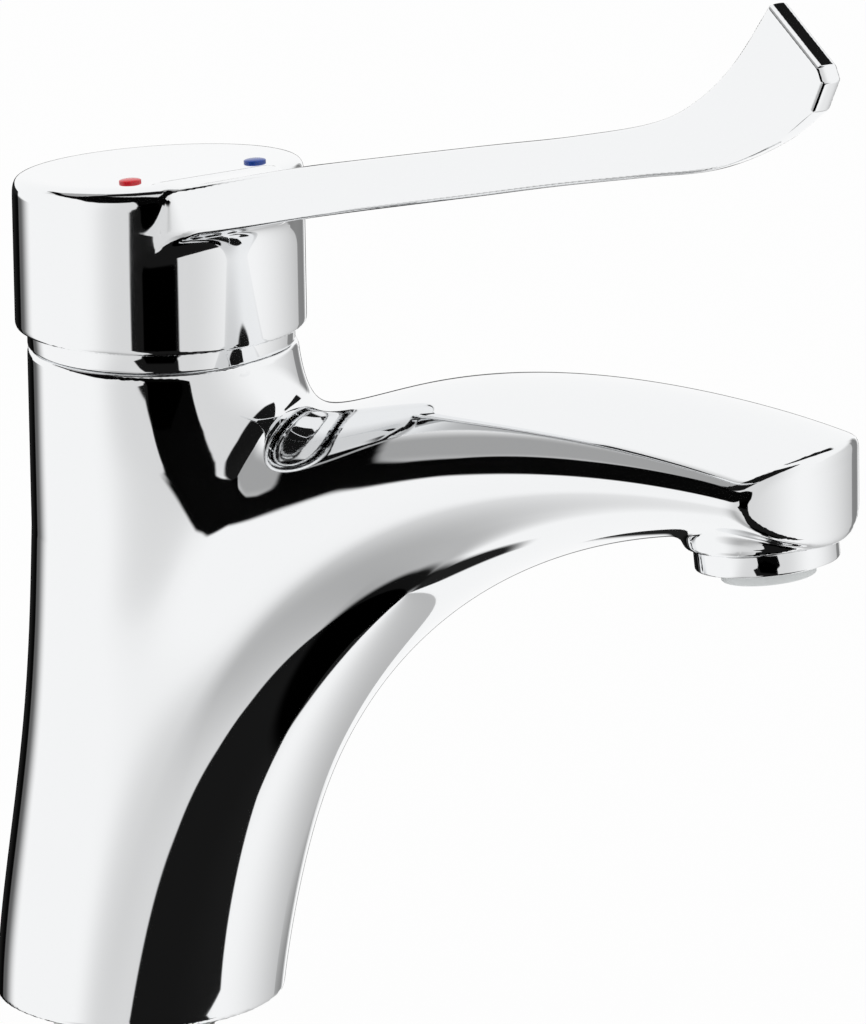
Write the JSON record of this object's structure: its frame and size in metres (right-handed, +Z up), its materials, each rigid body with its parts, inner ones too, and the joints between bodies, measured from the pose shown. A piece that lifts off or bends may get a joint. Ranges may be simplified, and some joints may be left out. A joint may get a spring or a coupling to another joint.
{
  "type": "elbow lever tap",
  "caption": "Deck-mounted single-hole basin mixer with an arched spout and a long elbow lever that lifts for flow and turns for temperature.",
  "frame": {"origin": "on the deck under the tap, straight below the axis of the neck and the cap", "axes": "+Z up along the neck, the spout points along -Y, +X to the right of someone who faces the tap"},
  "size_m": [0.1159, 0.2164, 0.2628],
  "materials": {
    "chromed_brass": "bright chrome plate, mirror polished",
    "chromed_zinc": "bright chrome plate, mirror polished",
    "brass": "turned brass",
    "steel": "plain stainless steel",
    "black_rubber": "matt moulded rubber",
    "grey_plastic": "moulded plastic",
    "white_plastic": "moulded plastic",
    "red_plastic": "glossy",
    "blue_plastic": "glossy",
    "white_ceramic": "lapped flat, satin"
  },
  "bodies": {
    "tap": {"tap_body": "chromed_brass", "cover_ring": "chromed_brass", "cover_seal": "black_rubber", "cartridge_nut": "brass", "cartridge_base": "grey_plastic", "port_seals": "black_rubber", "cartridge_shell": "grey_plastic", "fixed_ceramic_disc": "white_ceramic", "temperature_limiter": "red_plastic", "aerator_shell": "chromed_brass", "aerator_insert": "white_plastic", "aerator_washer": "black_rubber", "base_gasket": "black_rubber", "fixing_studs": "steel", "clamp_pad": "black_rubber", "clamp_plate": "steel", "stud_nuts": "steel"},
    "rotor": {"cartridge_rotor": "grey_plastic", "pivot_pin": "steel"},
    "lever_handle": {"handle": "chromed_zinc", "hot_mark": "red_plastic", "cold_mark": "blue_plastic", "grub_screw": "steel", "screw_plug": "grey_plastic", "cartridge_stem": "brass"},
    "disc_pack": {"disc_carrier": "grey_plastic", "moving_ceramic_disc": "white_ceramic"}
  },
  "joints": [
    {"name": "temperature_turn", "type": "hinge", "parent": "tap", "child": "rotor", "pos_m": [0, 0, 0.1162], "axis": [0, 0, 1], "range_deg": [-24, 76]},
    {"name": "lever_lift", "type": "hinge", "parent": "rotor", "child": "lever_handle", "pos_m": [0, 0, 0.1162], "axis": [-0.8988, 0.4384, 0], "range_deg": [0, 20]},
    {"name": "disc_slide", "type": "slide", "parent": "rotor", "child": "disc_pack", "axis": [-0.4384, -0.8988, 0], "range_m": [0, 0.0052]}
  ],
  "couplings": [
    {"joint": "disc_slide", "follows": "lever_lift", "m_per_rad": 0.014795}
  ]
}
